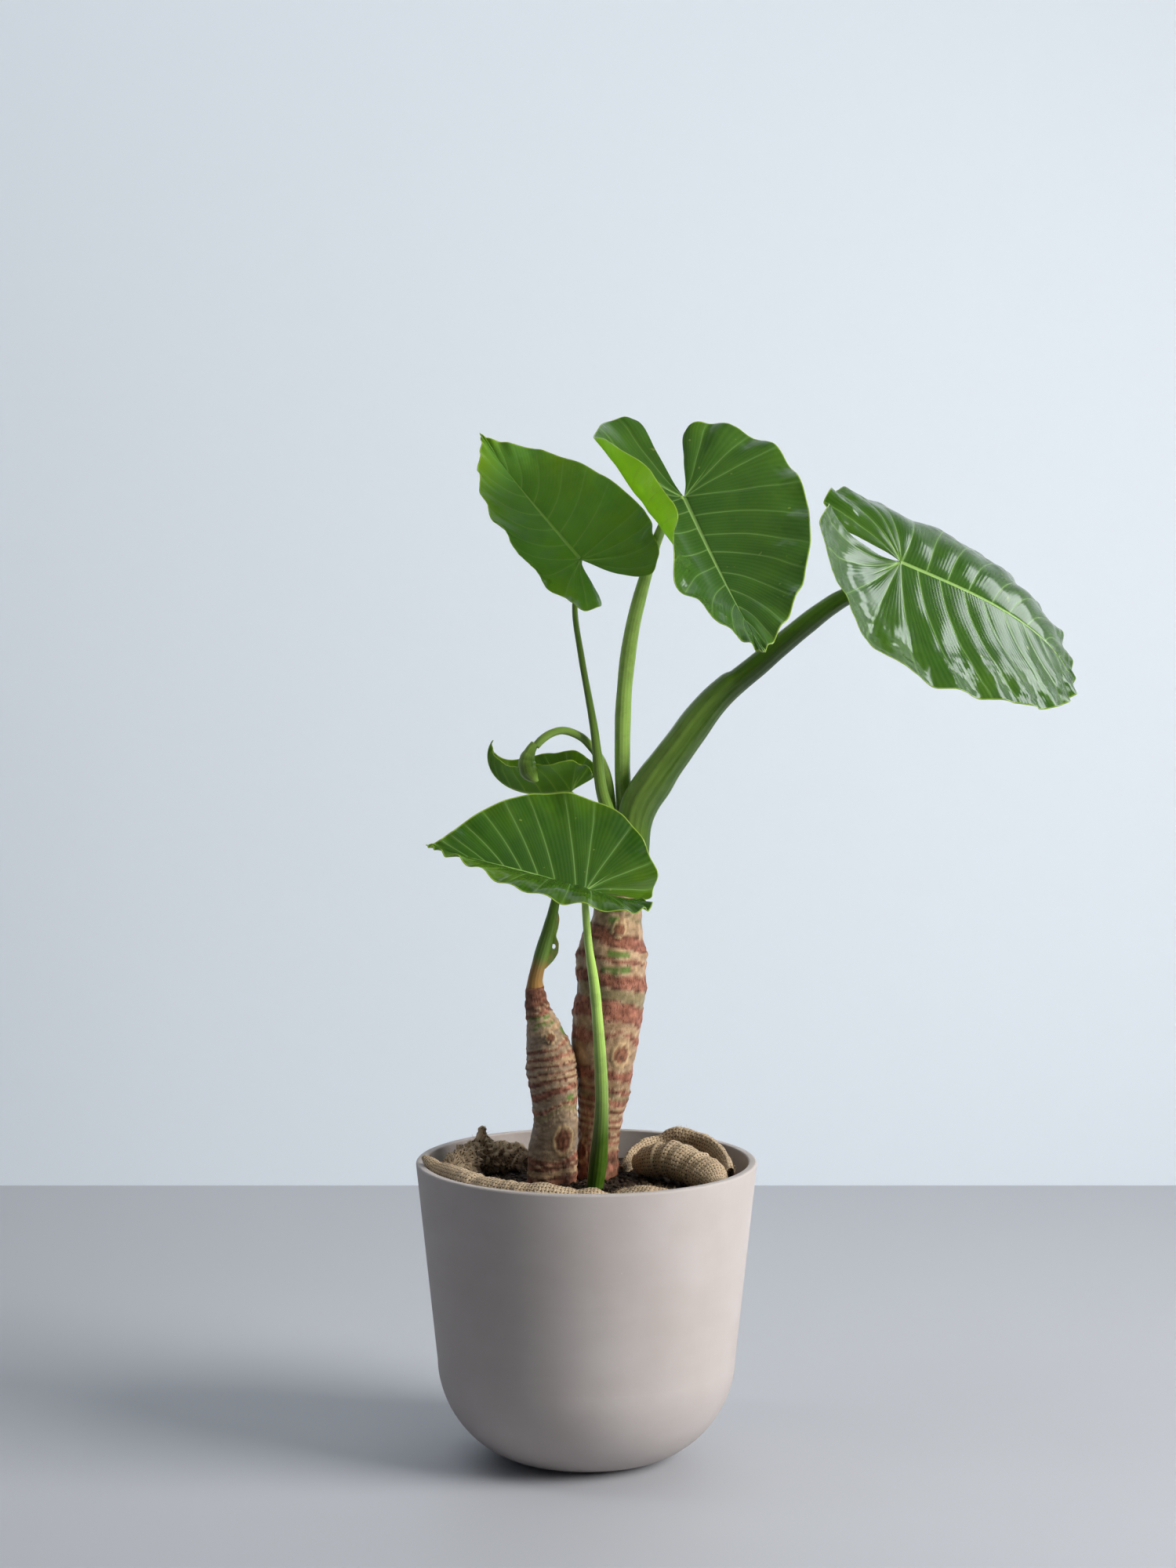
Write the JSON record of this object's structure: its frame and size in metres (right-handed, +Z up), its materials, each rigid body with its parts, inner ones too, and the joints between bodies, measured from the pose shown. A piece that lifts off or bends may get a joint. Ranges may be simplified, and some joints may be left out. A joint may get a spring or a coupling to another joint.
{
  "type": "potted alocasia plant",
  "caption": "Potted elephant-ear plant: heart-shaped leaves on long stalks over ringed bare trunks, in a round-bottomed taupe planter with burlap on the soil.",
  "frame": {"origin": "centre of the planter's flat base, on the floor", "axes": "+Z up, -Y towards the front, from which the small front leaf faces the viewer, +X towards the long leaning stalk and the largest leaf"},
  "size_m": [0.795, 0.4615, 1.2175],
  "materials": {
    "planter_taupe": "matt, slightly mottled mineral surface, bare of any mark",
    "potting_soil": "rough dark potting mix",
    "trunk_bark": "red-brown ringed bark with leaf scars",
    "stalk_green": "smooth satin green",
    "leaf_green": "glossy waxy green, paler veins, yellow-green underside",
    "burlap_jute": "coarse open plain-weave jute"
  },
  "bodies": {
    "root": {"planter": "planter_taupe", "soil": "potting_soil", "trunk_tall": "trunk_bark", "trunk_short": "trunk_bark", "petiole_left": "stalk_green", "petiole_center": "stalk_green", "petiole_right": "stalk_green", "petiole_arch": "stalk_green", "petiole_front": "stalk_green", "petiole_back": "stalk_green", "leaf_left": "leaf_green", "leaf_center": "leaf_green", "leaf_right": "leaf_green", "leaf_front": "leaf_green", "leaf_back": "leaf_green", "leaf_curl": "leaf_green", "burlap_front": "burlap_jute", "burlap_left": "burlap_jute", "burlap_right": "burlap_jute", "burlap_right_tail": "burlap_jute"}
  },
  "joints": []
}
